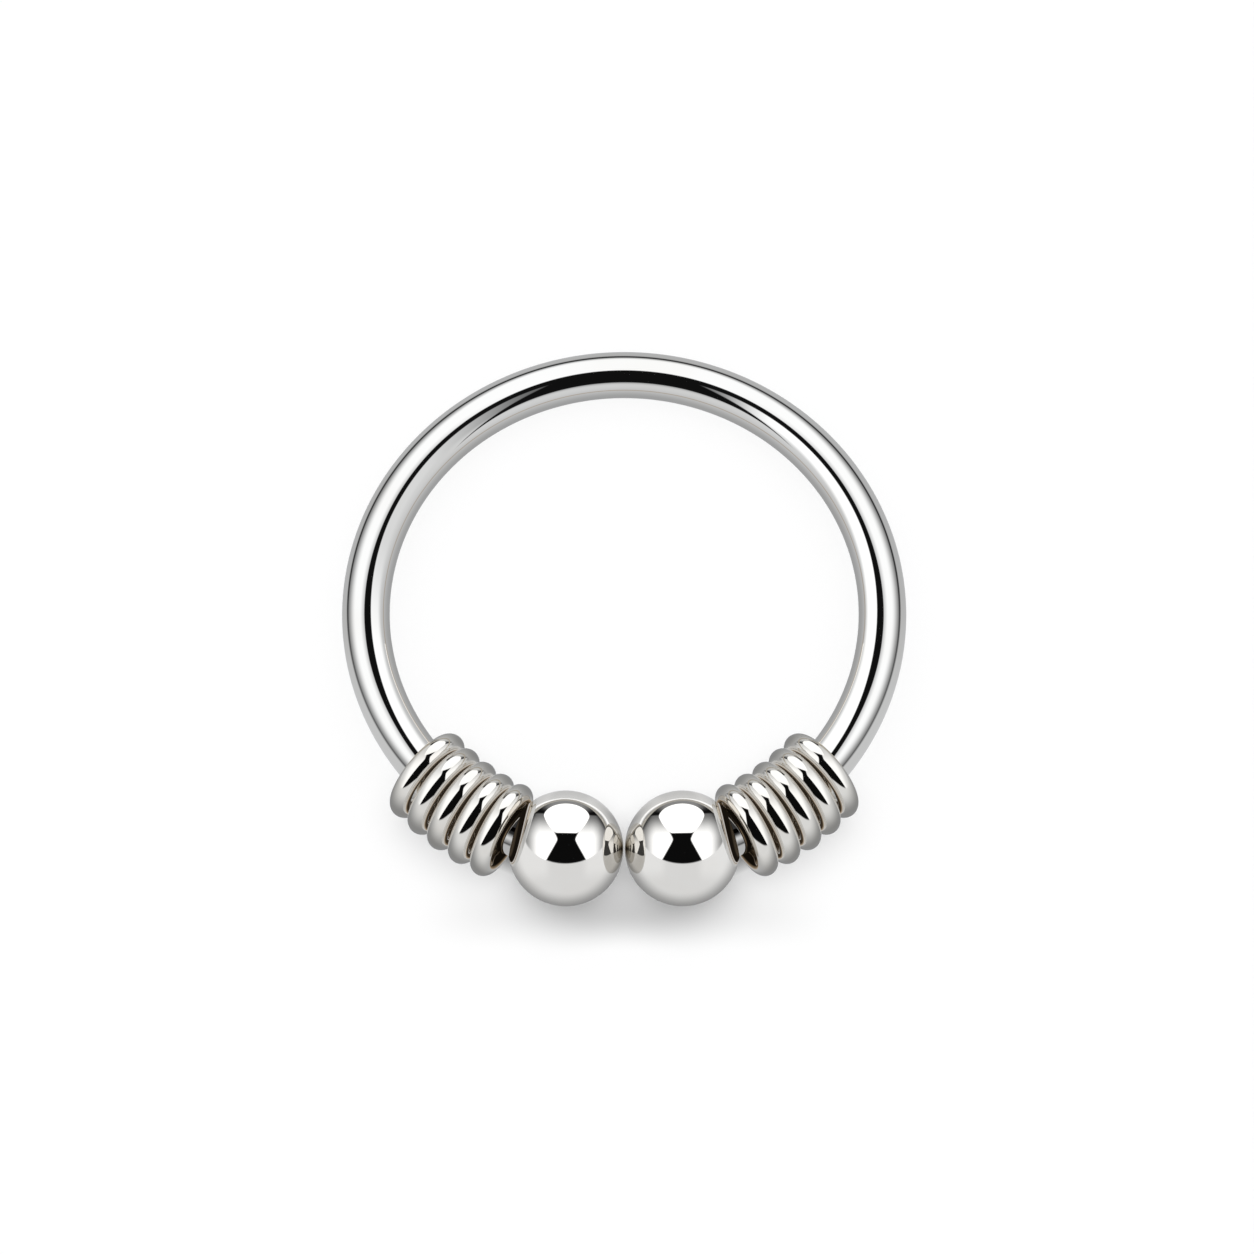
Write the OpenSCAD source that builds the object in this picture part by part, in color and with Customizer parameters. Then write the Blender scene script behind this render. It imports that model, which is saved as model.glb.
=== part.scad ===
// Open nose hoop with two end beads and a row of closed rings beside each bead.
// It lies on its side, resting on both beads and on the far side of the wire.

/* [Hoop wire] */
// Clear width inside the hoop
hoop_inner_d = 8; // [8:0.5:12]
// Thickness of the hoop wire
wire_d = 0.81; // [0.64:0.01:0.81]
// How deep each end of the wire sits in its bead, along the bend
wire_depth = 1; // [0.6:0.05:1]

/* [Beads] */
// Diameter of each end bead
bead_d = 1.91; // [1.8:0.01:1.91]
// Gap between the two beads
bead_gap = 0.02; // [0.01:0.01:0.2]
// Room round the wire in its straight hole, which takes the bend of the wire
hole_room = 0.035; // [0.035:0.005:0.06]
// Depth of the hole past the end of the wire
hole_end_room = 0.08; // [0.06:0.01:0.15]

/* [Rings] */
// Clear width inside each threaded ring
ring_inner_d = 0.98; // [0.98:0.01:1.05]
// Thickness of the wire of each threaded ring
ring_wire_d = 0.35; // [0.25:0.01:0.35]
// Distance along the wire from the bead to the middle of the first ring
ring_stand_off = 0.145; // [0.145:0.005:0.3]
// Distance along the wire from each ring to the next
ring_pitch = 0.39; // [0.39:0.005:0.45]
// Share of the wire's bend that each ring follows, 1 for square to the wire
ring_fan = 0.5; // [0.45:0.05:0.6]
// How far the tops of the rings lean away from their beads, in degrees
ring_lean = 2.5; // [0:0.5:4]
// How far the rings hang off the middle of the wire, away from the hoop's centre
ring_offset = 0.065; // [0:0.005:0.065]

/* [Hidden] */
$fn = 96;

// Rings on each side, counted from the bead
ring_count = 5;
// How far short of square to the wire the middle ring stands, in degrees
ring_skew = 1.5;

// The hoop's own frame: its centre line is a circle in the XY plane, the opening faces -Y
hoop_r = (hoop_inner_d + wire_d) / 2;
bead_x = (bead_d + bead_gap) / 2;
bead_y = sqrt(pow(hoop_r, 2) - pow(bead_x, 2));
bead_angle = asin(bead_x / hoop_r);

// Angles from the middle of the opening: where the hoop enters the bead, and where it stops
bead_entry_angle = bead_angle + 2 * asin(bead_d / 4 / hoop_r);
wire_end_angle = bead_entry_angle - wire_depth / hoop_r * 180 / PI;
// The hole runs through the bead's centre, level with the middle of the stretch inside it
hole_angle = (bead_entry_angle + wire_end_angle) / 2;
hole_r = wire_d / 2 + hole_room;
// Distance along the hole from the bead's centre, out towards its mouth
hole_end = hoop_r * sin(wire_end_angle - bead_angle) - hole_end_room;

ring_r = (ring_inner_d + ring_wire_d) / 2;
ring_step_angle = ring_pitch / hoop_r * 180 / PI;
ring_first_angle = bead_entry_angle + ring_stand_off / hoop_r * 180 / PI;
// The middle ring of a side, and where it sits
ring_middle = (ring_count + 1) / 2;
ring_middle_angle = ring_first_angle + ring_step_angle * (ring_middle - 1);

// Lying down: both beads and the far side of the wire touch the ground
lie_tilt = asin((bead_d - wire_d) / 2 / (hoop_r + bead_y));
lie_height = wire_d / 2 + hoop_r * sin(lie_tilt);
far_y = hoop_r * cos(lie_tilt) + wire_d / 2;
near_y = -bead_y * cos(lie_tilt) - bead_d / 2;

// Turns the upright hoop frame into the lying pose, centred over the ground it covers
module lying() {
    translate([0, -(far_y + near_y) / 2, lie_height])
        rotate([-lie_tilt, 0, 0])
            children();
}

// A round bar bent along the hoop's centre line, between two angles from the opening
module bent_bar(d, from_angle, to_angle) {
    rotate([0, 0, from_angle - 90])
        rotate_extrude(angle = to_angle - from_angle)
            translate([hoop_r, 0])
                circle(d = d);
}

// A ring of round wire round the Z axis
module wire_ring() {
    rotate_extrude()
        translate([ring_r, 0])
            circle(d = ring_wire_d);
}

// Bead on the +X side, with the blind hole that the wire's end sits in
module drilled_bead() {
    translate([bead_x, -bead_y, 0])
        rotate([0, 90, hole_angle])
            rotate_extrude()
                difference() {
                    intersection() {
                        circle(d = bead_d);
                        translate([0, -bead_d])
                            square([bead_d, 2 * bead_d]);
                    }
                    translate([-bead_d, hole_end])
                        square([bead_d + hole_r, bead_d]);
                }
}

// Ring number i on the +X side, counted from the bead
module threaded_ring(i) {
    place_angle = ring_middle_angle + ring_step_angle * (i - ring_middle);
    face_angle = ring_middle_angle - ring_skew + ring_fan * ring_step_angle * (i - ring_middle);
    rotate([0, 0, place_angle - 90])
        translate([hoop_r + ring_offset, 0, 0])
            rotate([0, 90 + ring_lean, face_angle - place_angle + 90])
                wire_ring();
}

module hoop_wire() {
    color([0.80, 0.79, 0.77])
        lying()
            bent_bar(wire_d, wire_end_angle, 360 - wire_end_angle);
}

module bead_right() {
    color([0.84, 0.84, 0.83])
        lying()
            drilled_bead();
}

module bead_left() {
    color([0.84, 0.84, 0.83])
        lying()
            mirror([1, 0, 0])
                drilled_bead();
}

module ring_right(i) {
    color([0.74, 0.72, 0.69])
        lying()
            threaded_ring(i);
}

module ring_left(i) {
    color([0.74, 0.72, 0.69])
        lying()
            mirror([1, 0, 0])
                threaded_ring(i);
}

hoop_wire();
bead_left();
bead_right();
ring_left(1);  // ring_left_1
ring_left(2);  // ring_left_2
ring_left(3);  // ring_left_3
ring_left(4);  // ring_left_4
ring_left(5);  // ring_left_5
ring_right(1);  // ring_right_1
ring_right(2);  // ring_right_2
ring_right(3);  // ring_right_3
ring_right(4);  // ring_right_4
ring_right(5);  // ring_right_5
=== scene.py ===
import math
import bmesh
import bpy
from mathutils import Euler, Matrix, Vector


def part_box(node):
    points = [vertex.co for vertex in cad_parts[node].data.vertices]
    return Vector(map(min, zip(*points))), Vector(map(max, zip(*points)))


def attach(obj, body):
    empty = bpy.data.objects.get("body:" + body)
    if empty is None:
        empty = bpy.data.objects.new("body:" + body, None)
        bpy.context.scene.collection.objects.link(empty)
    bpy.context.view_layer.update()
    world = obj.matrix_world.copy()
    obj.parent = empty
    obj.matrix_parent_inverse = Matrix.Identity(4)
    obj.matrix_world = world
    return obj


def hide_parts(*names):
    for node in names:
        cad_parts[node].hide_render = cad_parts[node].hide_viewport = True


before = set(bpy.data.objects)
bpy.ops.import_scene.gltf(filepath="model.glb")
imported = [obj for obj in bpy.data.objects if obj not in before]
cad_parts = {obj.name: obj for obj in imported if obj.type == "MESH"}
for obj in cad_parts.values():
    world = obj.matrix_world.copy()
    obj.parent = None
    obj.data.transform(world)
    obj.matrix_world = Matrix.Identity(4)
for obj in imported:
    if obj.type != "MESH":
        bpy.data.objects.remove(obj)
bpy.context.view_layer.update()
mm = 0.001
scene = bpy.context.scene


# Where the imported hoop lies

hoop = {
    "innerDiameter": 8.0,  # mm
    "wireRadius": 0.405,   # 20 gauge wire
    "beadRadius": 0.955,
    "beadGap": 0.02,
    "endDepth": 1.0,       # wire inside each bead
    "endRounding": 0.04, "endSteps": 6,
    "stepsAlong": 560, "stepsAround": 72,
}

hoopRadius = hoop["innerDiameter"] / 2 + hoop["wireRadius"]
beadRadius = hoop["beadRadius"]
beadAcross = beadRadius + hoop["beadGap"] / 2
beadForward = math.sqrt(hoopRadius ** 2 - beadAcross ** 2)
# both beads and the far side of the wire touch the floor
lieTilt = math.asin((beadRadius - hoop["wireRadius"]) / (hoopRadius + beadForward))
farY = hoopRadius * math.cos(lieTilt) + hoop["wireRadius"]
nearY = -beadForward * math.cos(lieTilt) - beadRadius
hoopMiddle = Vector((0, -(farY + nearY) / 2,
                     hoop["wireRadius"] + hoopRadius * math.sin(lieTilt)))
# from the upright hoop in mm, opening towards -Y, to where it lies in metres
lying = (Matrix.Scale(mm, 4) @ Matrix.Translation(hoopMiddle)
         @ Matrix.Rotation(-lieTilt, 4, "X"))
beadAngle = math.asin(beadAcross / hoopRadius)
beadEntryAngle = beadAngle + 2 * math.asin(beadRadius / 2 / hoopRadius)
wireEndAngle = beadEntryAngle - hoop["endDepth"] / hoopRadius
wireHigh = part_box("hoop_wire")[1]
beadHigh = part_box("bead_right")[1]
print("hoop laid tilted", round(math.degrees(lieTilt), 3), "degrees; from the packed boxes in mm:",
      "wire", round(wireHigh[0] / mm - hoopRadius - hoop["wireRadius"], 4),
      "far side", round(wireHigh[1] / mm - (farY - nearY) / 2, 4),
      "bead top", round(beadHigh[2] / mm - 2 * beadRadius, 4))


# Camera, at the photo's angle to the lying hoop

camera = {
    "elevation": 72.053,   # degrees above the floor
    "distance": 51.3,      # mm from the middle of the hoop
    "slideRight": 0.0478,
    "slideUp": -0.3375,
    "lens": 86.3,
}

elevation = math.radians(camera["elevation"])
towardsCamera = Vector((0, -math.cos(elevation), math.sin(elevation)))
upInView = Vector((0, math.sin(elevation), math.cos(elevation)))
cameraPlace = (hoopMiddle + towardsCamera * camera["distance"]
               + Vector((1, 0, 0)) * camera["slideRight"]
               + upInView * camera["slideUp"]) * mm
cameraData = bpy.data.cameras.new("photoCamera")
cameraData.lens = camera["lens"]
cameraData.sensor_width = 36
cameraData.clip_start = 0.001
cameraData.clip_end = 20
cameraObject = bpy.data.objects.new("photoCamera", cameraData)
cameraObject.location = cameraPlace
cameraObject.rotation_euler = (math.pi / 2 - elevation, 0, 0)
scene.collection.objects.link(cameraObject)
scene.camera = cameraObject
scene.view_settings.view_transform = "Standard"
print("camera set")


# Small helpers for node trees

def plug(tree, value, socket):
    if isinstance(value, bpy.types.NodeSocket):
        tree.links.new(value, socket)
    elif value is not None:
        socket.default_value = value


def addNode(tree, kind, label="", **settings):
    node = tree.nodes.new(kind)
    node.label = label
    for key, value in settings.items():
        setattr(node, key, value)
    return node


def doMath(tree, operation, *values, label=""):
    node = addNode(tree, "ShaderNodeMath", label, operation=operation)
    for value, socket in zip(values, node.inputs):
        plug(tree, value, socket)
    return node.outputs[0]


def plus(tree, first, second):
    return doMath(tree, "ADD", first, second)


def minus(tree, first, second):
    return doMath(tree, "SUBTRACT", first, second)


def times(tree, first, second, label=""):
    return doMath(tree, "MULTIPLY", first, second, label=label)


def timesPlus(tree, first, second, added):
    return doMath(tree, "MULTIPLY_ADD", first, second, added)


def divide(tree, first, second):
    return doMath(tree, "DIVIDE", first, second)


def noLess(tree, first, second):
    return doMath(tree, "MAXIMUM", first, second)


def noMore(tree, first, second):
    return doMath(tree, "MINIMUM", first, second)


def flatLength(tree, x, y):
    return doMath(tree, "SQRT", timesPlus(tree, x, x, times(tree, y, y)))


def doVector(tree, operation, *values):
    node = addNode(tree, "ShaderNodeVectorMath", operation=operation)
    for value, socket in zip(values, node.inputs):
        plug(tree, value, socket)
    return node.outputs["Value" if operation == "DOT_PRODUCT" else "Vector"]


def splitPlace(tree, place):
    node = addNode(tree, "ShaderNodeSeparateXYZ")
    tree.links.new(place, node.inputs[0])
    return [node.outputs[axis] for axis in "XYZ"]


def joinPlace(tree, *values):
    node = addNode(tree, "ShaderNodeCombineXYZ")
    for value, socket in zip(values, node.inputs):
        plug(tree, value, socket)
    return node.outputs[0]


def rampUp(tree, value, low, high, fromLow=0.0, toHigh=1.0, label=""):
    node = addNode(tree, "ShaderNodeMapRange", label, interpolation_type="SMOOTHSTEP")
    for name, setting in (("Value", value), ("From Min", low), ("From Max", high),
                          ("To Min", fromLow), ("To Max", toHigh)):
        plug(tree, setting, node.inputs[name])
    return node.outputs["Result"]


def stepAt(tree, value, place, blur, fromLow=0.0, toHigh=1.0, label=""):
    return rampUp(tree, value, place - blur, place + blur, fromLow, toHigh, label)


def humpAt(tree, value, middle, half):
    # 1 at the middle, falling to 0 half away
    away = divide(tree, minus(tree, value, middle), half)
    return noLess(tree, minus(tree, 1.0, times(tree, away, away)), 0.0)


def blendValue(tree, share, first, second, label=""):
    node = addNode(tree, "ShaderNodeMix", label, data_type="FLOAT")
    for name, setting in (("Factor", share), ("A", first), ("B", second)):
        plug(tree, setting, node.inputs[name])
    return node.outputs["Result"]


def blendColour(tree, share, first, second, label=""):
    node = addNode(tree, "ShaderNodeMix", label, data_type="RGBA")
    plug(tree, share, node.inputs["Factor"])
    colours = [socket for socket in node.inputs if socket.type == "RGBA"]
    plug(tree, first, colours[0])
    plug(tree, second, colours[1])
    return [socket for socket in node.outputs if socket.type == "RGBA"][0]


def uprightPlace(tree, place):
    # turns the lying hoop back upright, in mm, with its own axis as Z
    upright = addNode(tree, "ShaderNodeMapping", "upright hoop", vector_type="TEXTURE")
    upright.inputs["Location"].default_value = hoopMiddle * mm
    upright.inputs["Rotation"].default_value = (-lieTilt, 0, 0)
    upright.inputs["Scale"].default_value = (mm, mm, mm)
    tree.links.new(place, upright.inputs["Vector"])
    return upright.outputs[0]


# Small helpers for meshes

def turnsRound(count):
    return [2 * math.pi * i / count for i in range(count)]


def loopRound(shape, angle, radius, count):
    # a circle of points round the hoop's centre line
    outwards = Vector((math.sin(angle), -math.cos(angle), 0))
    return [shape.verts.new(outwards * (hoopRadius + radius * math.cos(turn))
                            + Vector((0, 0, radius * math.sin(turn))))
            for turn in turnsRound(count)]


def joinLoops(shape, loops):
    # faces from each loop of points to the next; a loop of one point makes a tip
    count = max(len(loop) for loop in loops)
    for first, second in zip(loops, loops[1:]):
        for i in range(count):
            corners = [first[i % len(first)], first[(i + 1) % len(first)],
                       second[(i + 1) % len(second)], second[i % len(second)]]
            shape.faces.new(list(dict.fromkeys(corners)))


def takeMesh(name, shape):
    mesh = bpy.data.meshes.new(name)
    shape.to_mesh(mesh)
    shape.free()
    return mesh


# Studio: domes that only reflections see, each painted with three softboxes in a dark
# room over a pale floor, and linked to the pieces that it lights. The paint is laid out
# as a mirror ball among the beads shows it to the photo's camera: right and up run from
# -1 to 1 over such a ball, and its rim shows what lies underneath. A pair of numbers is
# where a change starts and ends.

beadStudio = {
    "domeRadius": 25.0,        # mm round the two beads
    "tint": (0.997, 1.0, 1.004),
    "eachBounce": (0.765, 0.75, 0.722), "flatDeeper": 0.15, "deeperTone": 0.42,
    "beadSide": 0, "beadShift": 0.08, "beadTilt": 0.17,
    "roomUp": 0.277, "roomHalfWidth": 0.715, "roomHalfHeight": 0.535, "roomBlur": 0.025,
    "roomPower": 2.0, "edgeLine": 0.45, "edgeLineAt": 1.05, "edgeLineHalf": 0.032,
    "edgeLineUp": (0.1, 0.35),
    "dark": 0.004, "backWall": 0.26, "wallAcross": (0.22, 0.50), "wallUp": (0.60, 0.70),
    "card": 0.755, "cardSideGain": 0.10, "cardAcross": (0.22, 0.40), "cardUp": (-0.62, -0.30),
    "rim": (0.74, 1.02), "rimShade": 0.37, "rimOnTop": 0.4, "rimUp": (0.5, 0.9),
    "sideBox": 1.4, "sideBlur": 0.013, "sideTop": 0.572, "sideTopBlur": 0.017,
    "fadeUp": (0.15, 0.58), "fadeUpLeft": 0.12,
    "fadeOut": (0.42, 0.68), "fadeOutLeft": 0.22,
    "corner": (0.56, 0.68), "cornerUp": 0.42, "cornerSlope": 0.6,
    "waistUp": 0.15, "waistHalf": 0.14, "slantBelow": 0.57, "slantAbove": 0.52,
    "waistRounding": 0.015,
    "topBox": 1.5, "topUp": 0.545, "topHalfWidth": 0.385, "topOval": (0.95, 1.04),
    "topRise": 0.213, "topRisePower": 1.8, "topDrop": 0.3466, "topDropPower": 1.27,
    "topEdge": 0.259, "topEdgeBlur": 0.011,
}
ringStudio = dict(
    beadStudio, domeRadius=11.5, tint=(0.975, 1.0, 1.03), card=0.80, cardSideGain=0.0,
    rim=(0.62, 1.02), rimShade=0.34, rimOnTop=1.0, edgeLine=0.0, roomBlur=0.04,
    eachBounce=(0.83, 0.84, 0.86), flatDeeper=0.80, deeperTone=0.88,
    roomUp=0.17, roomHalfWidth=0.80, roomHalfHeight=0.575, roomPower=3.0,
    waistUp=0.24, waistHalf=0.11, slantBelow=0.82, slantAbove=0.65,
    fadeUpLeft=0.6, sideTop=0.60, sideBox=1.2, topBox=1.25, topEdge=0.38,
    fadeOut=(0.52, 0.76), fadeOutLeft=0.6, corner=(0.68, 0.80))
leftRingStudio = dict(ringStudio, beadSide=1)
rightRingStudio = dict(ringStudio, beadSide=-1, domeRadius=12.5)


def paintStudio(tree, right, up, paint):
    across = doMath(tree, "ABSOLUTE", right)

    # the oval of the room
    roomX = divide(tree, across, paint["roomHalfWidth"])
    roomY = divide(tree, minus(tree, up, paint["roomUp"]), paint["roomHalfHeight"])
    roomReach = doMath(tree, "SQRT", timesPlus(
        tree, roomY, roomY, doMath(tree, "POWER", roomX, paint["roomPower"])))
    inRoom = stepAt(tree, roomReach, 1, paint["roomBlur"], 1, 0, "room")

    # pale card and floor: a little lighter at the sides, shaded towards the rim, and
    # brightest right behind the room
    sides = times(tree, rampUp(tree, across, *paint["cardAcross"]),
                  rampUp(tree, up, *paint["cardUp"]))
    card = timesPlus(tree, sides, paint["cardSideGain"], paint["card"])
    shaded = times(tree, rampUp(tree, flatLength(tree, right, up), *paint["rim"]),
                   rampUp(tree, up, *paint["rimUp"], 1, paint["rimOnTop"]))
    card = times(tree, card, timesPlus(tree, shaded, paint["rimShade"] - 1, 1.0), "floor")
    edge = times(tree, humpAt(tree, roomReach, paint["edgeLineAt"], paint["edgeLineHalf"]),
                 rampUp(tree, up, *paint["edgeLineUp"]))
    card = timesPlus(tree, edge, paint["edgeLine"], card)

    wall = times(tree, rampUp(tree, across, *paint["wallAcross"], paint["backWall"], 0),
                 rampUp(tree, up, *paint["wallUp"]), "back wall")

    # side boxes: dim upwards and outwards, cut off on top, and waisted on the inside
    dimUp = times(tree, rampUp(tree, up, *paint["fadeUp"], 1, paint["fadeUpLeft"]),
                  stepAt(tree, up, paint["sideTop"], paint["sideTopBlur"], 1, 0))
    dimOut = rampUp(tree, across, *paint["fadeOut"], 1, paint["fadeOutLeft"])
    cornerReach = timesPlus(tree, minus(tree, up, paint["cornerUp"]), paint["cornerSlope"],
                            across)
    corner = rampUp(tree, cornerReach, *paint["corner"], 1, 0)
    fromWaist = minus(tree, up, paint["waistUp"])
    slant = plus(tree, times(tree, noLess(tree, fromWaist, 0.0), paint["slantAbove"]),
                 times(tree, noMore(tree, fromWaist, 0.0), -paint["slantBelow"]))
    innerEdge = plus(tree, paint["waistHalf"], doMath(tree, "SQRT", timesPlus(
        tree, slant, slant, paint["waistRounding"] ** 2)))
    inside = stepAt(tree, minus(tree, across, innerEdge), 0, paint["sideBlur"])
    side = times(tree, times(tree, dimUp, dimOut), times(tree, corner, inside))
    side = times(tree, side, paint["sideBox"], "side boxes")
    light = plus(tree, noLess(tree, wall, side), paint["dark"])

    # top box: an oval with a straight lower edge
    above = minus(tree, up, paint["topUp"])
    rise, drop = [doMath(tree, "POWER", noLess(tree, divide(tree, above, half), 0.0), power)
                  for half, power in ((paint["topRise"], paint["topRisePower"]),
                                      (-paint["topDrop"], paint["topDropPower"]))]
    wide = divide(tree, across, paint["topHalfWidth"])
    topReach = timesPlus(tree, wide, wide, plus(tree, rise, drop))
    top = times(tree, rampUp(tree, topReach, *paint["topOval"], 1, 0),
                stepAt(tree, up, paint["topEdge"], paint["topEdgeBlur"]), "top box")
    light = blendValue(tree, top, light, paint["topBox"])
    return blendValue(tree, inRoom, card, light, "studio")


beadsMiddle = lying @ Vector((0, -beadForward, 0))
ballView = (cameraPlace - beadsMiddle).normalized()
ballRight = (Vector((1, 0, 0)) - ballView * ballView.x).normalized()
ballUp = ballView.cross(ballRight)


def stageMesh(name, shape, material):
    mesh = takeMesh(name, shape)
    mesh.materials.append(material)
    thing = bpy.data.objects.new(name, mesh)
    scene.collection.objects.link(thing)
    return thing


def onlyReflected(thing):
    thing.visible_camera = False
    thing.visible_diffuse = False
    thing.visible_shadow = False


def emptyMaterial(name):
    material = bpy.data.materials.new(name)
    material.use_nodes = True
    material.cycles.emission_sampling = "NONE"
    material.node_tree.nodes.clear()
    return material, material.node_tree


def addGlow(tree, colour, strength):
    glow = addNode(tree, "ShaderNodeEmission")
    plug(tree, colour, glow.inputs["Color"])
    plug(tree, strength, glow.inputs["Strength"])
    return glow.outputs[0]


def endMaterial(tree, shaded):
    output = addNode(tree, "ShaderNodeOutputMaterial")
    tree.links.new(shaded, output.inputs["Surface"])


def dimDeeper(tree, colour, tone, paint):
    # what is seen by way of a neighbouring piece is flatter, and dimmer with each bounce
    bounces = noLess(tree, minus(tree, addNode(
        tree, "ShaderNodeLightPath").outputs["Ray Depth"], 1.0), 0.0)
    flat = times(tree, noMore(tree, bounces, 1.0), paint["flatDeeper"])
    tone = blendValue(tree, flat, tone, paint["deeperTone"])
    kept = joinPlace(tree, *(doMath(tree, "POWER", share, bounces)
                             for share in paint["eachBounce"]))
    return doVector(tree, "MULTIPLY", kept, colour), tone


def addShell(name, shape, paintShell, paint, lit):
    # glows on the pieces in lit; all see past it, but for where clearness is 0
    material, tree = emptyMaterial(name)
    colour, strength, clearness = paintShell(
        tree, addNode(tree, "ShaderNodeTexCoord").outputs["Object"], paint)
    clear = addNode(tree, "ShaderNodeBsdfTransparent")
    plug(tree, clearness, clear.inputs["Color"])
    both = addNode(tree, "ShaderNodeAddShader")
    tree.links.new(addGlow(tree, colour, strength), both.inputs[0])
    tree.links.new(clear.outputs[0], both.inputs[1])
    endMaterial(tree, both.outputs[0])
    shell = stageMesh(name, shape, material)
    onlyReflected(shell)
    shell.light_linking.receiver_collection = lit


def paintDome(tree, place, paint):
    direction = doVector(tree, "NORMALIZE", doVector(tree, "SUBTRACT", place, beadsMiddle))
    halfWay = doVector(tree, "NORMALIZE", doVector(tree, "ADD", direction, ballView))
    right = doVector(tree, "DOT_PRODUCT", halfWay, ballRight)
    up = doVector(tree, "DOT_PRODUCT", halfWay, ballUp)
    # the rings see it turned a little towards their bead
    up = timesPlus(tree, right, paint["beadSide"] * paint["beadTilt"], up)
    right = plus(tree, right, -paint["beadSide"] * paint["beadShift"])
    return (*dimDeeper(tree, paint["tint"], paintStudio(tree, right, up, paint), paint), None)


def domeShape(radius):
    shape = bmesh.new()
    bmesh.ops.create_uvsphere(shape, u_segments=96, v_segments=48, radius=radius * mm)
    bmesh.ops.translate(shape, verts=shape.verts, vec=beadsMiddle)
    return shape


litByBeads = bpy.data.collections.new("litLikeBeads")
litByWire = bpy.data.collections.new("litLikeWire")
litByRings = {side: bpy.data.collections.new("litLikeRings_" + side)
              for side in ("left", "right")}
addShell("beadDome", domeShape(beadStudio["domeRadius"]), paintDome, beadStudio, litByBeads)
for sideName, studio in (("left", leftRingStudio), ("right", rightRingStudio)):
    addShell("ringDome_" + sideName, domeShape(studio["domeRadius"]), paintDome, studio,
             litByRings[sideName])


# Tent: a bent tube round the wire, which its reflections see in place of a dome, so all that
# is painted on it is painted reflection: the dark core line, the outer line, the bands, the
# tan line and the dark patch. It is laid out in two directions: turn, in hundreds of degrees
# round the hoop from the middle of the far side (side is the same on the left and the
# right), and out, from -1 to 1 across the wire as the camera sees it.

tent = {
    "tubeRadius": 1.6,         # mm
    "stepsAlong": 240, "stepsAround": 48,
    "eachBounce": (0.95, 0.91, 0.84), "flatDeeper": 0.85, "deeperTone": 0.5,
    "dark": 0.006, "white": 1.13, "shade": 0.22, "neutral": (0.985, 1.0, 1.02, 1),
    "lastTurn": 1.28, "middleBlur": 0.15, "closedTo": 0.9, "nearWithin": 2.4,
    # curves over turn: each factor goes with one more power of it
    "core": (0.066, -0.05, -0.29, 0.039, 0.132), "line": (0.698, -0.044, 0.01, 0.027, -0.085),
    # four numbers are where a change starts and ends, and the value at each; these are of
    # the dark core line along the wire, and how softly the white sets in beside it
    "coreLeft": (-0.3, 0, -0.022, 0), "coreWider": (0.6, 0.9, 0.078, 0.123),
    "coreNarrower": (0.95, 1.2, 0, 0.045), "coreBlur": 0.014,
    "softSides": (0.2, 0.6), "softWhite": (0, 0.16, 0.62, 1),
    # the outer line, how wide the white fades into it, and the grey past it
    "lineHalf": 0.052, "lineGain": (0.75, 1.15, -0.94, -0.5), "fade": (0.1, 0.7, 0.13, 0.33),
    "pastLine": (-0.01, 0.02), "outerGrey": (0.75, 1.15, 0.50, 0.62),
    # the inner side: a white band on the left and right, over grey with a tan line
    "bandEdge": -0.33, "bandLeft": (0.35, 0.95, 0, 0.20), "bandRight": (0.25, 0.85, 0, 0.27),
    "bandBlur": 0.08, "leftTone": (0.15, 0.50, 0.12, 0.78), "leftMore": (0.65, 0.95, 0, 0.4),
    "rightTone": (0.17, 0.35, 0.2, 1.2), "grey": (-0.92, -0.42, 0.38, 0.71),
    "tanLine": -0.62, "tanLineDrop": 0.08, "tanLineHalf": 0.02, "tanLineDepth": 0.28,
    "tan": (1.0, 0.86, 0.72, 1),
    # the dark patch in the middle of the far side, with a wing at each end
    "patchHalf": 0.16, "patchLow": -0.315, "patchBlur": 0.01, "patchLowBlur": 0.012,
    "wingFrom": 0.0, "wingDrop": 0.42, "wingPower": 1.3, "wingLong": 0.20,
    "wingSag": 0.15, "sagAt": 0.38, "sagPower": 3.0, "wingTip": (0.36, 0.40),
    # the dim gap between the beads and the first rings
    "gapFrom": 1.42, "gapBlur": 0.01, "gapTone": (0.05, 0.30, 0.03, 0.8),
}


def alongCurve(tree, value, factors):
    total = factors[-1]
    for factor in reversed(factors[:-1]):
        total = timesPlus(tree, value, total, factor)
    return total


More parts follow.
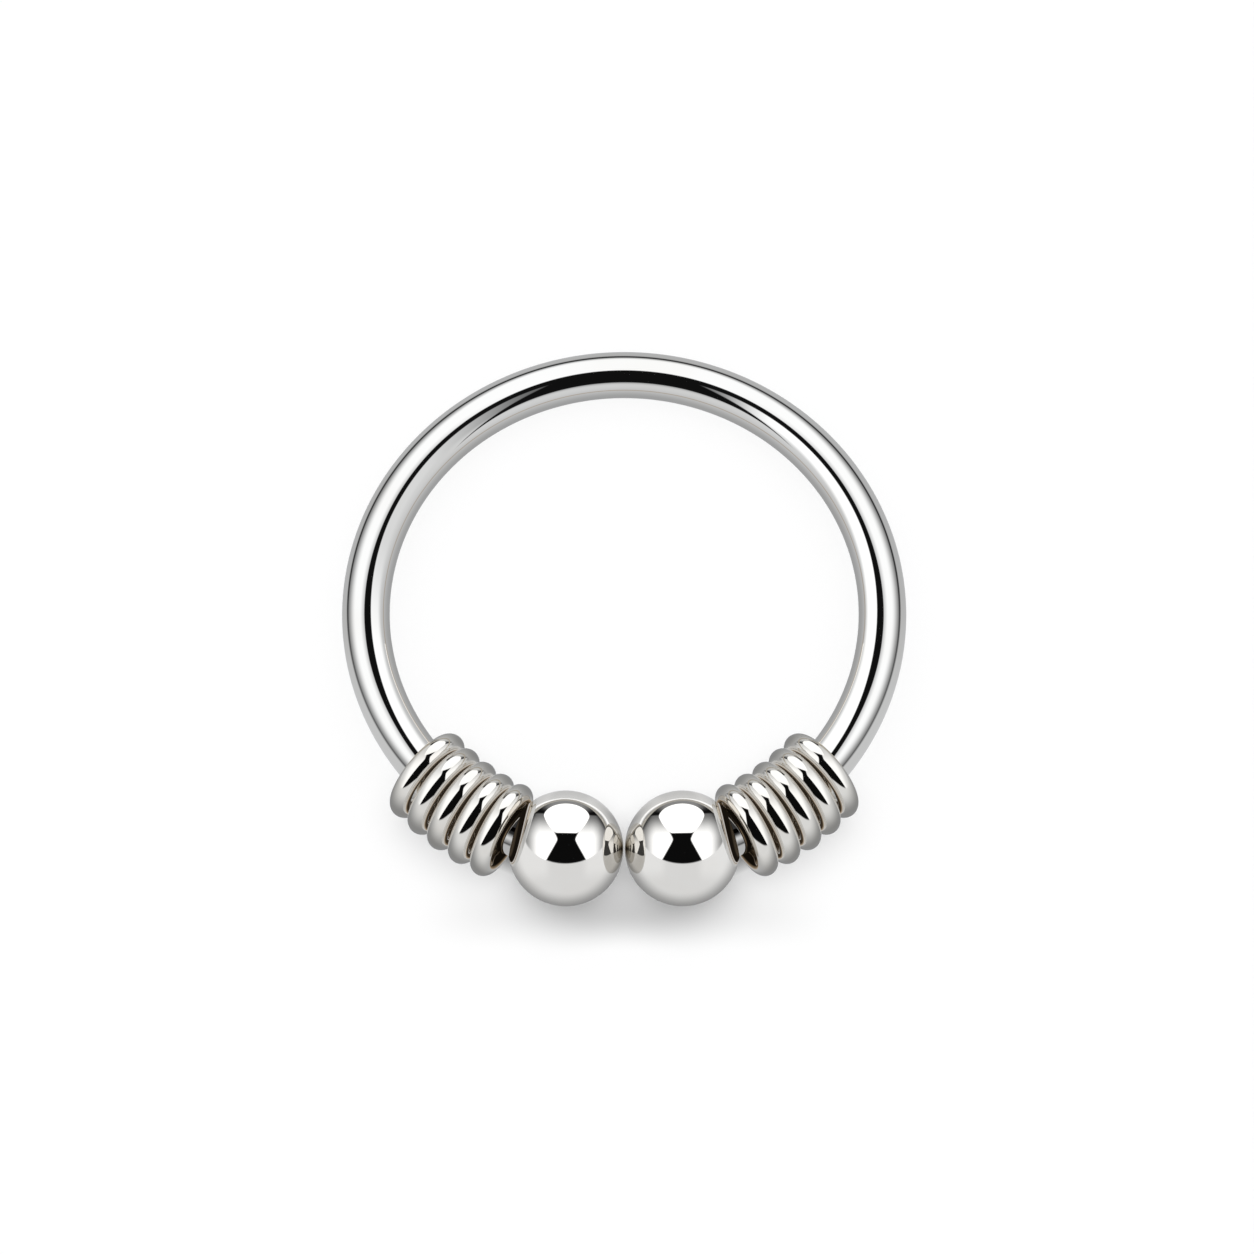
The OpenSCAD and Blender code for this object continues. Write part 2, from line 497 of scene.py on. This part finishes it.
def paintTent(tree, place, paint):
    x, y, z = splitPlace(tree, uprightPlace(tree, place))
    angle = doMath(tree, "ARCTAN2", x, y)
    turn = times(tree, angle, math.degrees(1) / 100, "turn")
    rawSide = doMath(tree, "ABSOLUTE", turn)
    turn = noLess(tree, noMore(tree, turn, paint["lastTurn"]), -paint["lastTurn"])
    side = doMath(tree, "ABSOLUTE", turn)
    right = stepAt(tree, turn, 0, paint["middleBlur"])
    lean = doMath(tree, "ARCTAN2", minus(tree, flatLength(tree, x, y), hoopRadius), z)
    lean = timesPlus(tree, doMath(tree, "COSINE", angle), math.pi / 2 - elevation + lieTilt,
                     lean)
    out = doMath(tree, "SINE", times(tree, lean, 0.5), label="out")

    # outside the core: white that fades into the outer line, then grey
    line = alongCurve(tree, turn, paint["line"])
    fade = rampUp(tree, side, *paint["fade"])
    above = blendValue(tree, rampUp(tree, out, minus(tree, line, fade), line),
                       paint["white"], paint["shade"])
    above = blendValue(tree, rampUp(tree, minus(tree, out, line), *paint["pastLine"]),
                       above, rampUp(tree, side, *paint["outerGrey"]))
    above = times(tree, above, timesPlus(
        tree, humpAt(tree, out, line, paint["lineHalf"]),
        rampUp(tree, side, *paint["lineGain"]), 1.0), "outer side")

    # inside it: grey with a thin tan line, and the white band over it
    tanLine = humpAt(tree, out, timesPlus(
        tree, times(tree, side, side), -paint["tanLineDrop"], paint["tanLine"]),
        paint["tanLineHalf"])
    grey = times(tree, rampUp(tree, out, *paint["grey"]),
                 timesPlus(tree, tanLine, -paint["tanLineDepth"], 1.0))
    leftTone = plus(tree, rampUp(tree, side, *paint["leftTone"]),
                    rampUp(tree, side, *paint["leftMore"]))
    band = blendValue(tree, right, leftTone, rampUp(tree, side, *paint["rightTone"]))
    edge = minus(tree, paint["bandEdge"], blendValue(
        tree, right, rampUp(tree, side, *paint["bandLeft"]),
        rampUp(tree, side, *paint["bandRight"])))
    inBand = stepAt(tree, minus(tree, out, edge), 0, paint["bandBlur"])
    below = blendValue(tree, inBand, grey, band, "inner side")

    # the dark patch and its wings
    wing = doMath(tree, "POWER", noLess(tree, divide(
        tree, minus(tree, paint["wingFrom"], out), paint["wingDrop"]), 0.0),
        paint["wingPower"])
    patchEnd = timesPlus(tree, wing, paint["wingLong"], paint["patchHalf"])
    sag = doMath(tree, "POWER", divide(tree, side, paint["sagAt"]), paint["sagPower"])
    patchLow = timesPlus(tree, sag, -paint["wingSag"], paint["patchLow"])
    patch = times(tree, stepAt(tree, minus(tree, patchEnd, side), 0, paint["patchBlur"]),
                  stepAt(tree, minus(tree, out, patchLow), 0, paint["patchLowBlur"]))
    patch = times(tree, patch, rampUp(tree, side, *paint["wingTip"], 1, 0))
    below = blendValue(tree, patch, below, paint["dark"], "patch")

    core = plus(tree, alongCurve(tree, turn, paint["core"]),
                rampUp(tree, turn, *paint["coreLeft"]))
    fromCore = minus(tree, out, core)
    coreHalf = minus(tree, rampUp(tree, side, *paint["coreWider"]),
                     rampUp(tree, side, *paint["coreNarrower"]))
    inCore = stepAt(tree, minus(tree, coreHalf, doMath(tree, "ABSOLUTE", fromCore)),
                    0, paint["coreBlur"])
    # on the left and right the white sets in softly beside it
    soft = rampUp(tree, minus(tree, fromCore, coreHalf), *paint["softWhite"])
    above = times(tree, above, blendValue(
        tree, rampUp(tree, side, *paint["softSides"]), 1.0, soft))
    tone = blendValue(tree, stepAt(tree, fromCore, 0, paint["patchBlur"]), below, above)
    tone = blendValue(tree, inCore, tone, paint["dark"], "core")
    # little light gets in between the beads and the first rings
    tone = times(tree, tone, blendValue(
        tree, stepAt(tree, rawSide, paint["gapFrom"], paint["gapBlur"]), 1.0,
        rampUp(tree, out, *paint["gapTone"])))
    # a reflection is painted where it leaves the tube, not where it meets the tube again
    # further off, and up to closedTo it also ends there
    path = addNode(tree, "ShaderNodeLightPath").outputs
    near = doMath(tree, "LESS_THAN", path["Ray Length"], paint["nearWithin"] * mm)
    firstMet = doMath(tree, "LESS_THAN", path["Transparent Depth"], 0.5)
    tone = times(tree, tone, noLess(tree, firstMet, near))
    clearness = minus(tree, 1.0, times(
        tree, near, doMath(tree, "LESS_THAN", rawSide, paint["closedTo"])))
    colour = blendColour(tree, tanLine, paint["neutral"], paint["tan"], "tan line")
    return (*dimDeeper(tree, colour, tone, paint), clearness)


def tentShape():
    shape = bmesh.new()
    loops = [loopRound(shape, angle, tent["tubeRadius"], tent["stepsAround"])
             for angle in turnsRound(tent["stepsAlong"])]
    joinLoops(shape, loops + loops[:1])
    shape.transform(lying)
    return shape


addShell("wireTent", tentShape(), paintTent, tent, litByWire)


# Floor, sky and overhead lights. The beads throw the whole soft shadow, the rings and the
# thin wire only part of it. The floor also has painted shade under the beads and rings and in
# front of them.

room = {
    "floorRadius": 2.0,        # metres
    "floorShade": 0.86,
    "skyLight": 0.06, "skySeen": 1.0,
    # painted deep shade under the beads and rings, from and to radians from the opening's middle
    "rowShade": 0.9, "rowInwards": 0.1, "rowHalfWidth": 0.55,
    "rowStart": (0.28, 0.36), "rowEnd": (0.62, 0.72),
    # painted soft shade in front: mm to the side where it starts and ends, and how deep it is
    "frontAt": 5.18, "frontHalfDepth": 0.62,
    "frontMiddle": (0, 1.5, 0.20, 0), "frontSides": (2.0, 3.7, 0.105, 0),
    "lightAll": 0.14, "spreadAll": 100,         # degrees across, for a soft shadow
    "lightPastWire": 0.92, "lightPastRings": 1.0, "spreadPastWire": 52,
    "lightNoShadow": 1.47,
    "lampsLean": 5,            # degrees from straight overhead, towards the far side
}
beadCasters = bpy.data.collections.new("beadsThrowShadow")
shadowCasters = bpy.data.collections.new("beadsAndRingsThrowShadow")


def addFloor():
    material, tree = emptyMaterial("paleFloor")
    x, y = splitPlace(tree, uprightPlace(
        tree, addNode(tree, "ShaderNodeTexCoord").outputs["Object"]))[:2]
    # painted deep shade right under the beads and rings, which shows through their gaps
    angle = doMath(tree, "ABSOLUTE", doMath(tree, "ARCTAN2", x, times(tree, y, -1.0)))
    paintedRowShade = times(tree, humpAt(tree, flatLength(tree, x, y), hoopRadius - room["rowInwards"],
                              room["rowHalfWidth"]),
                 times(tree, rampUp(tree, angle, *room["rowStart"]),
                       rampUp(tree, angle, *room["rowEnd"], 1, 0)))
    # and painted soft shade in front of both beads, fainter out to both rows
    across = doMath(tree, "ABSOLUTE", x)
    inFront = doMath(tree, "ABSOLUTE", plus(tree, y, room["frontAt"]))
    soft = times(tree, plus(tree, rampUp(tree, across, *room["frontMiddle"]),
                            rampUp(tree, across, *room["frontSides"])),
                 rampUp(tree, inFront, 0, room["frontHalfDepth"], 1, 0))
    tone = times(tree, timesPlus(tree, paintedRowShade, -room["rowShade"], 1.0), room["floorShade"])
    tone = times(tree, tone, minus(tree, 1.0, soft))
    paper = addNode(tree, "ShaderNodeBsdfDiffuse")
    plug(tree, tone, paper.inputs["Color"])
    endMaterial(tree, paper.outputs[0])
    shape = bmesh.new()
    bmesh.ops.create_circle(shape, cap_ends=True, segments=96, radius=room["floorRadius"])
    stageMesh("floor", shape, material).visible_glossy = False


def addSky():
    world = bpy.data.worlds.new("paleSky")
    world.use_nodes = True
    tree = world.node_tree
    path = addNode(tree, "ShaderNodeLightPath").outputs
    seen = blendValue(tree, path["Is Camera Ray"], room["skyLight"], room["skySeen"])
    seen = blendValue(tree, path["Is Glossy Ray"], seen, 0.0)
    plug(tree, seen, tree.nodes["Background"].inputs["Strength"])
    tree.nodes["Background"].inputs["Color"].default_value = (1, 1, 1, 1)
    scene.world = world


def addOverheadLight(name, strength, spread, casters=None):
    light = bpy.data.lights.new(name, "SUN")
    light.energy = strength
    light.angle = math.radians(spread)
    light.cycles.use_multiple_importance_sampling = False   # or the wire shades it all
    lamp = bpy.data.objects.new(name, light)
    lamp.rotation_euler.x = math.radians(-room["lampsLean"])
    lamp.visible_glossy = False
    if casters:
        lamp.light_linking.blocker_collection = casters
    scene.collection.objects.link(lamp)
    return light


addFloor()
addSky()
addOverheadLight("overheadLight", room["lightAll"], room["spreadAll"])
addOverheadLight("ringLight", room["lightPastWire"], room["spreadPastWire"], shadowCasters)
addOverheadLight("beadLight", room["lightPastRings"], room["spreadPastWire"], beadCasters)
addOverheadLight("fillLight", room["lightNoShadow"], room["spreadAll"]).use_shadow = False
scene.cycles.glossy_bounces = 10      # the grooves between the rings need many
scene.cycles.max_bounces = 14
scene.cycles.transparent_max_bounces = 24
scene.cycles.caustics_reflective = False
print("studio built")


# Silver: one node group for the polish, placed in each material with its own values

polish = {
    "filmEdge": (0.42, 0.68),
    "filmDetail": 3, "streakDetail": 2, "waveDetail": 0,
    "filmDulls": 0.6, "streaksDull": 0.4,       # shares of the roughness spread
    "streakDrift": 0.02,                        # how soon streaks change along the wire
    "beadStretch": (1, 0.7, 1.2),
}


def newSocket(tree, name, kind, way="INPUT", value=None):
    socket = tree.interface.new_socket(name=name, in_out=way, socket_type="NodeSocket" + kind)
    if value is not None:
        socket.default_value = value
    return socket


def makePolishGroup():
    tree = bpy.data.node_groups.new("silverPolish", "ShaderNodeTree")
    for name, kind, value in (
            ("Place", "Vector", None), ("Streak Place", "Vector", None), ("Seed", "Float", 0.0),
            ("Silver", "Color", (0.9, 0.9, 0.9, 1)), ("Film", "Color", (0.8, 0.75, 0.7, 1)),
            ("Film Share", "Float", 0.05), ("Film Patches", "Float", 1.5),
            ("Roughness", "Float", 0.03), ("Roughness Spread", "Float", 0.03),
            ("Wave Height", "Float", 0.0003), ("Wave Scale", "Float", 0.8),
            ("Streak Height", "Float", 0.00002), ("Streak Scale", "Float", 30.0)):
        newSocket(tree, name, kind, value=value)
    newSocket(tree, "Color", "Color", "OUTPUT")
    newSocket(tree, "Roughness", "Float", "OUTPUT")
    newSocket(tree, "Height", "Float", "OUTPUT")
    given = addNode(tree, "NodeGroupInput").outputs
    result = addNode(tree, "NodeGroupOutput").inputs

    def noise(place, scale, detail, label):
        node = addNode(tree, "ShaderNodeTexNoise", label, noise_dimensions="4D")
        plug(tree, given[place], node.inputs["Vector"])
        plug(tree, given["Seed"], node.inputs["W"])
        plug(tree, given[scale], node.inputs["Scale"])
        node.inputs["Detail"].default_value = polish[detail]
        return node.outputs["Fac"]

    patches = noise("Place", "Film Patches", "filmDetail", "handling film")
    patches = rampUp(tree, patches, *polish["filmEdge"])
    streaks = noise("Streak Place", "Streak Scale", "streakDetail", "polishing streaks")
    waves = noise("Place", "Wave Scale", "waveDetail", "drawn unevenness")
    film = times(tree, patches, given["Film Share"])
    plug(tree, blendColour(tree, film, given["Silver"], given["Film"]), result["Color"])
    unevenShine = timesPlus(tree, patches, polish["filmDulls"],
                            times(tree, streaks, polish["streaksDull"]))
    plug(tree, timesPlus(tree, unevenShine, given["Roughness Spread"], given["Roughness"]),
         result["Roughness"])
    plug(tree, timesPlus(tree, streaks, given["Streak Height"],
                         times(tree, waves, given["Wave Height"])), result["Height"])
    return tree


polishGroup = makePolishGroup()


def makeSilver(name, finish, streakPlace):
    material = bpy.data.materials.new(name)
    material.use_nodes = True
    tree = material.node_tree
    shader = tree.nodes["Principled BSDF"].inputs
    shader["Metallic"].default_value = 1
    group = addNode(tree, "ShaderNodeGroup", "polish", node_tree=polishGroup)
    place = addNode(tree, "ShaderNodeTexCoord").outputs["Object"]
    plug(tree, doVector(tree, "MULTIPLY", place, (1 / mm,) * 3), group.inputs["Place"])
    streak, seed = streakPlace(tree, place)
    plug(tree, streak, group.inputs["Streak Place"])
    plug(tree, seed, group.inputs["Seed"])
    for key, value in finish.items():
        group.inputs[key].default_value = value
    tree.links.new(group.outputs["Color"], shader["Base Color"])
    tree.links.new(group.outputs["Roughness"], shader["Roughness"])
    bump = addNode(tree, "ShaderNodeBump")
    bump.inputs["Strength"].default_value = 1
    bump.inputs["Distance"].default_value = mm
    tree.links.new(group.outputs["Height"], bump.inputs["Height"])
    tree.links.new(bump.outputs["Normal"], shader["Normal"])
    return material


def circleStreaks(tree, place):
    # streaks that run round the Z axis: fine across the wire, slow along it
    x, y, z = splitPlace(tree, place)
    slow = times(tree, plus(tree, x, y), polish["streakDrift"])
    return joinPlace(tree, flatLength(tree, x, y), z, slow)


def wireStreaks(tree, place):
    return circleStreaks(tree, uprightPlace(tree, place)), None


def ballStreaks(tree, place):
    stretch = [share / mm for share in polish["beadStretch"]]
    return doVector(tree, "MULTIPLY", place, stretch), None


def ringStreaks(tree, place):
    own = addNode(tree, "ShaderNodeAttribute", attribute_name="ringPlace")
    seed = addNode(tree, "ShaderNodeAttribute", attribute_name="ringSeed")
    return circleStreaks(tree, own.outputs["Vector"]), seed.outputs["Fac"]


hoopFinish = {
    "Silver": (0.885, 0.875, 0.855, 1), "Film": (0.80, 0.77, 0.72, 1), "Seed": 1.7,
    "Film Share": 0.25, "Film Patches": 0.7, "Roughness": 0.028, "Roughness Spread": 0.03,
    "Wave Height": 0.0004, "Wave Scale": 0.8, "Streak Height": 0.000012, "Streak Scale": 24,
}
beadFinish = {
    "Silver": (0.89, 0.88, 0.86, 1), "Film": (0.82, 0.79, 0.75, 1), "Seed": 4.2,
    "Film Share": 0.2, "Film Patches": 1.3, "Roughness": 0.022, "Roughness Spread": 0.025,
    "Wave Height": 0.0003, "Wave Scale": 0.9, "Streak Height": 0.000006, "Streak Scale": 30,
}
ringFinish = {
    "Silver": (0.87, 0.84, 0.79, 1), "Film": (0.78, 0.72, 0.64, 1),
    "Film Share": 0.3, "Film Patches": 1.8, "Roughness": 0.03, "Roughness Spread": 0.03,
    "Wave Height": 0.0004, "Wave Scale": 1.4, "Streak Height": 0.000012, "Streak Scale": 24,
}

hoopSilver = makeSilver("hoopSilver", hoopFinish, wireStreaks)
beadSilver = makeSilver("beadSilver", beadFinish, ballStreaks)
ringSilver = makeSilver("ringSilver", ringFinish, ringStreaks)
print("silver mixed")


# Pieces

def finishPiece(name, mesh, material, groups, node):
    mesh.transform(lying)
    mesh.shade_smooth()
    if not mesh.materials:
        mesh.materials.append(material)
    piece = bpy.data.objects.new(name, mesh)
    scene.collection.objects.link(piece)
    for group in groups:
        group.objects.link(piece)
    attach(piece, "root")
    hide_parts(node)


def roundedEnd(radius, rounding, steps):
    # distance from the flat end and radius there, from the middle of the end outwards
    turns = [i / steps * math.pi / 2 for i in range(steps + 1)]
    return [(rounding * (1 - math.sin(turn)), radius - rounding + rounding * math.cos(turn))
            for turn in reversed(turns)]


def makeHoopWire():
    shape = bmesh.new()
    ends = roundedEnd(hoop["wireRadius"], hoop["endRounding"], hoop["endSteps"])
    startAngle, stopAngle = wireEndAngle, 2 * math.pi - wireEndAngle
    edgeTurn = hoop["endRounding"] / hoopRadius
    stations = [(startAngle + back / hoopRadius, thick) for back, thick in ends]
    middleFrom, middleTo = startAngle + edgeTurn, stopAngle - edgeTurn
    steps = hoop["stepsAlong"]
    stations += [(middleFrom + (middleTo - middleFrom) * i / steps, hoop["wireRadius"])
                 for i in range(1, steps)]
    stations += [(stopAngle - back / hoopRadius, thick) for back, thick in reversed(ends)]
    loops = [loopRound(shape, angle, thick, hoop["stepsAround"]) for angle, thick in stations]
    joinLoops(shape, loops)
    shape.faces.new(loops[0])
    shape.faces.new(loops[-1])
    bmesh.ops.recalc_face_normals(shape, faces=shape.faces)
    finishPiece("polishedWire", takeMesh("polishedWire", shape), hoopSilver,
                [litByWire], "hoop_wire")


bead = {
    "holeRadius": 0.44,
    "holeEndRoom": 0.08,
    "mouthRounding": 0.015,
    "stepsAround": 160, "stepsOver": 120, "stepsInMouth": 6, "stepsInHole": 6,
    "endShares": (0.9, 0.5, 0),      # of the hole's radius, on its flat end
}


def beadProfile():
    # distance along the hole's axis and radius there, from the blind side to the hole's end
    rounding = bead["mouthRounding"]
    mouthRadius = bead["holeRadius"] + rounding
    lastTurn = math.pi - math.asin(mouthRadius / beadRadius)
    points = []
    for i in range(bead["stepsOver"] + 1):
        turn = lastTurn * i / bead["stepsOver"]
        points.append((-beadRadius * math.cos(turn), beadRadius * math.sin(turn)))
    mouthEdge = points[-1][0]
    for i in range(1, bead["stepsInMouth"] + 1):
        turn = math.pi / 2 * i / bead["stepsInMouth"]
        points.append((mouthEdge - rounding * (1 - math.cos(turn)),
                       mouthRadius - rounding * math.sin(turn)))
    holeEnd = hoopRadius * math.sin(wireEndAngle - beadAngle) - bead["holeEndRoom"]
    holeTop = points[-1][0]
    steps = bead["stepsInHole"]
    points += [(holeTop + (holeEnd - holeTop) * i / steps, bead["holeRadius"])
               for i in range(1, steps + 1)]
    points += [(holeEnd, bead["holeRadius"] * share) for share in bead["endShares"]]
    return points


def makeBead(name, side, node):
    shape = bmesh.new()
    holeAngle = (beadEntryAngle + wireEndAngle) / 2
    axis = Vector((side * math.cos(holeAngle), math.sin(holeAngle), 0))
    middle = Vector((side * beadAcross, -beadForward, 0))
    flatTurn = Vector((0, 0, 1))
    otherTurn = axis.cross(flatTurn)
    loops = []
    for along, radius in beadProfile():
        centre = middle + axis * along
        turns = turnsRound(bead["stepsAround"]) if radius > 0 else [0]
        loops.append([shape.verts.new(centre + radius * (
            flatTurn * math.cos(turn) + otherTurn * math.sin(turn))) for turn in turns])
    joinLoops(shape, loops)
    bmesh.ops.recalc_face_normals(shape, faces=shape.faces)
    finishPiece(name, takeMesh(name, shape), beadSilver,
                [litByBeads, beadCasters, shadowCasters], node)


makeHoopWire()
makeBead("polishedBead_left", -1, "bead_left")
makeBead("polishedBead_right", 1, "bead_right")
print("wire and beads made")


# Threaded rings

rings = {
    "innerDiameter": 0.98,
    "wireDiameter": 0.35,
    "standOff": 0.145,     # mm along the wire from the bead to the first ring
    "pitch": 0.39,
    "fan": 0.5,
    "skew": 1.5,           # degrees
    "lean": 2.5,
    "offset": 0.065,
    "perSide": 5,
    "stepsRound": 200, "stepsAcross": 48,
    "seed": 11, "seedsUpTo": 20,       # for the streaks
}


def makeRingTree():
    tree = bpy.data.node_groups.new("threadedRings", "GeometryNodeTree")
    tree.is_modifier = True
    newSocket(tree, "Geometry", "Geometry")
    sockets = {}
    for name, kind, value in (
            ("Ring Radius", "Float", 0.665), ("Wire Radius", "Float", 0.175),
            ("Path Radius", "Float", 4.47), ("Side", "Float", 1.0),
            ("First Place", "Float", 0.0), ("Place Step", "Float", 0.0),
            ("First Facing", "Float", 0.0), ("Facing Step", "Float", 0.0),
            ("Lean", "Float", 0.0), ("Starts At", "Int", 0), ("Rings", "Int", 5),
            ("Steps Round", "Int", 200), ("Steps Across", "Int", 48), ("Seed", "Int", 11),
            ("Material", "Material", None)):
        sockets[name] = newSocket(tree, name, kind, value=value).identifier
    newSocket(tree, "Geometry", "Geometry", "OUTPUT")
    given = addNode(tree, "NodeGroupInput").outputs

    # one ring of round wire round Z
    loop = addNode(tree, "GeometryNodeCurvePrimitiveCircle")
    plug(tree, given["Steps Round"], loop.inputs["Resolution"])
    plug(tree, given["Ring Radius"], loop.inputs["Radius"])
    section = addNode(tree, "GeometryNodeCurvePrimitiveCircle")
    plug(tree, given["Steps Across"], section.inputs["Resolution"])
    plug(tree, given["Wire Radius"], section.inputs["Radius"])
    ring = addNode(tree, "GeometryNodeCurveToMesh")
    plug(tree, loop.outputs["Curve"], ring.inputs["Curve"])
    plug(tree, section.outputs["Curve"], ring.inputs["Profile Curve"])
    ownPlace = addNode(tree, "GeometryNodeStoreNamedAttribute", data_type="FLOAT_VECTOR",
                       domain="POINT")
    plug(tree, ring.outputs["Mesh"], ownPlace.inputs["Geometry"])
    ownPlace.inputs["Name"].default_value = "ringPlace"
    plug(tree, addNode(tree, "GeometryNodeInputPosition").outputs[0], ownPlace.inputs["Value"])

    # its places along the hoop, counted from the bead
    number = plus(tree, addNode(tree, "GeometryNodeInputIndex").outputs[0],
                  given["Starts At"])
    place = timesPlus(tree, number, given["Place Step"], given["First Place"])
    spot = joinPlace(tree, times(tree, doMath(tree, "SINE", place), given["Side"]),
                     times(tree, doMath(tree, "COSINE", place), -1.0))
    path = doVector(tree, "SCALE", spot)
    plug(tree, given["Path Radius"], path.node.inputs["Scale"])
    points = addNode(tree, "GeometryNodePoints")
    plug(tree, given["Rings"], points.inputs["Count"])
    plug(tree, path, points.inputs["Position"])

    # which way each ring faces: mirrored on the left side
    facing = timesPlus(tree, number, given["Facing Step"], given["First Facing"])
    facing = blendValue(tree, doMath(tree, "GREATER_THAN", given["Side"], 0.0),
                        minus(tree, math.pi, facing), facing)
    turned = addNode(tree, "FunctionNodeEulerToRotation")
    plug(tree, joinPlace(tree, 0.0, plus(tree, given["Lean"], math.pi / 2), facing),
         turned.inputs[0])
    row = addNode(tree, "GeometryNodeInstanceOnPoints")
    plug(tree, points.outputs[0], row.inputs["Points"])
    plug(tree, ownPlace.outputs["Geometry"], row.inputs["Instance"])
    plug(tree, turned.outputs[0], row.inputs["Rotation"])

    # a fixed random value for each ring, so no two are streaked alike
    chance = addNode(tree, "FunctionNodeRandomValue", data_type="FLOAT")
    for socket in chance.inputs:
        if socket.name == "ID":
            plug(tree, number, socket)
        elif socket.name == "Seed":
            plug(tree, given["Seed"], socket)
        elif socket.name == "Max" and socket.type == "VALUE":
            socket.default_value = rings["seedsUpTo"]
    ownSeed = addNode(tree, "GeometryNodeStoreNamedAttribute", data_type="FLOAT",
                      domain="INSTANCE")
    plug(tree, row.outputs[0], ownSeed.inputs["Geometry"])
    ownSeed.inputs["Name"].default_value = "ringSeed"
    plug(tree, [socket for socket in chance.outputs if socket.type == "VALUE"][0],
         ownSeed.inputs["Value"])
    real = addNode(tree, "GeometryNodeRealizeInstances")
    plug(tree, ownSeed.outputs["Geometry"], real.inputs["Geometry"])
    coat = addNode(tree, "GeometryNodeSetMaterial")
    plug(tree, real.outputs["Geometry"], coat.inputs["Geometry"])
    plug(tree, given["Material"], coat.inputs["Material"])
    output = addNode(tree, "NodeGroupOutput")
    plug(tree, coat.outputs["Geometry"], output.inputs["Geometry"])
    return tree, sockets


ringTree, ringSockets = makeRingTree()
placeStep = rings["pitch"] / hoopRadius
firstPlace = beadEntryAngle + rings["standOff"] / hoopRadius
middlePlace = firstPlace + placeStep * (rings["perSide"] - 1) / 2
facingStep = rings["fan"] * placeStep
firstFacing = (middlePlace - math.radians(rings["skew"])
               - facingStep * (rings["perSide"] - 1) / 2)


def makeRing(sideName, side, number):
    name = "threadedRing_%s_%d" % (sideName, number)
    carrier = bpy.data.objects.new(name + "_tree", bpy.data.meshes.new(name + "_tree"))
    scene.collection.objects.link(carrier)
    modifier = carrier.modifiers.new("threadedRings", "NODES")
    modifier.node_group = ringTree
    for key, value in {
            "Ring Radius": (rings["innerDiameter"] + rings["wireDiameter"]) / 2,
            "Wire Radius": rings["wireDiameter"] / 2,
            "Path Radius": hoopRadius + rings["offset"],
            "Side": float(side), "First Place": firstPlace, "Place Step": placeStep,
            "First Facing": firstFacing, "Facing Step": facingStep,
            "Lean": math.radians(rings["lean"]), "Starts At": number - 1, "Rings": 1,
            "Steps Round": rings["stepsRound"], "Steps Across": rings["stepsAcross"],
            "Seed": rings["seed"], "Material": ringSilver}.items():
        modifier[ringSockets[key]] = value
    shown = carrier.evaluated_get(bpy.context.evaluated_depsgraph_get())
    mesh = bpy.data.meshes.new_from_object(shown)
    mesh.name = name
    carrier.modifiers.remove(modifier)
    bpy.data.objects.remove(carrier)
    shape = bmesh.new()
    shape.from_mesh(mesh)
    bmesh.ops.recalc_face_normals(shape, faces=shape.faces)
    shape.to_mesh(mesh)
    shape.free()
    finishPiece(name, mesh, ringSilver, [litByRings[sideName], shadowCasters],
                "ring_%s_%d" % (sideName, number))


for sideName, side in (("left", -1), ("right", 1)):
    for number in range(1, rings["perSide"] + 1):
        makeRing(sideName, side, number)
print("rings threaded")


# Thin glowing cards between the rings that only their reflections see, with painted shade
# and painted reflection for the grooves: dark where two rings come closest, then tan, and
# pale further out

cards = {
    # radius in mm, and how bright it is there
    "tones": ((0.36, 0.03), (0.645, 0.04), (0.665, 0.24), (0.685, 0.44), (0.71, 0.68)),
    "seenByBead": ((0.36, 0.06), (0.42, 0.05), (0.46, 0.01), (0.585, 0.008), (0.597, 0.55),
                   (0.625, 0.62)),
    "seenByFirstRing": ((0.36, 0.006), (0.59, 0.006), (0.63, 0.22), (0.66, 0.50)),
    "fromRing": 0.182,         # from the middle of the first ring, towards the bead
    "halfApart": 0.002,        # the two cards there stand back to back
    "tan": (1.0, 0.76, 0.51, 1), "white": (1, 1, 1, 1), "tanToWhite": (0.2, 0.66),
    "steps": 96,
}


def addCard(shape, bright, place, facing, side, tones):
    spot = Vector((side * math.sin(place), -math.cos(place), 0)) * (
        hoopRadius + rings["offset"])
    turned = Euler((0, math.pi / 2 + math.radians(rings["lean"]),
                    facing if side > 0 else math.pi - facing))
    stand = lying @ Matrix.Translation(spot) @ turned.to_matrix().to_4x4()
    loops = []
    for radius, tone in tones:
        loops.append([shape.verts.new(stand @ Vector((
            radius * math.cos(turn), radius * math.sin(turn), 0)))
            for turn in turnsRound(cards["steps"])])
        for corner in loops[-1]:
            corner[bright] = tone
    joinLoops(shape, loops)


def addCards():
    material, tree = emptyMaterial("grooveShadeCard")
    tone = addNode(tree, "ShaderNodeAttribute", attribute_name="bright").outputs["Fac"]
    # painted shade and reflection: tan where the card is dim, white where it is pale
    colour = blendColour(tree, rampUp(tree, tone, *cards["tanToWhite"]), cards["tan"],
                         cards["white"], "tan where dim")
    endMaterial(tree, addGlow(tree, colour, tone))
    shape = bmesh.new()
    bright = shape.verts.layers.float.new("bright")
    for side in (-1, 1):
        for more, tones in ((cards["halfApart"], "seenByBead"),
                            (-cards["halfApart"], "seenByFirstRing")):
            addCard(shape, bright, firstPlace - (cards["fromRing"] + more) / hoopRadius,
                    firstFacing, side, cards[tones])
        for number in range(1, rings["perSide"]):
            addCard(shape, bright, firstPlace + placeStep * (number - 0.5),
                    firstFacing + facingStep * (number - 0.5), side, cards["tones"])
    onlyReflected(stageMesh("grooveShadeCards", shape, material))


addCards()
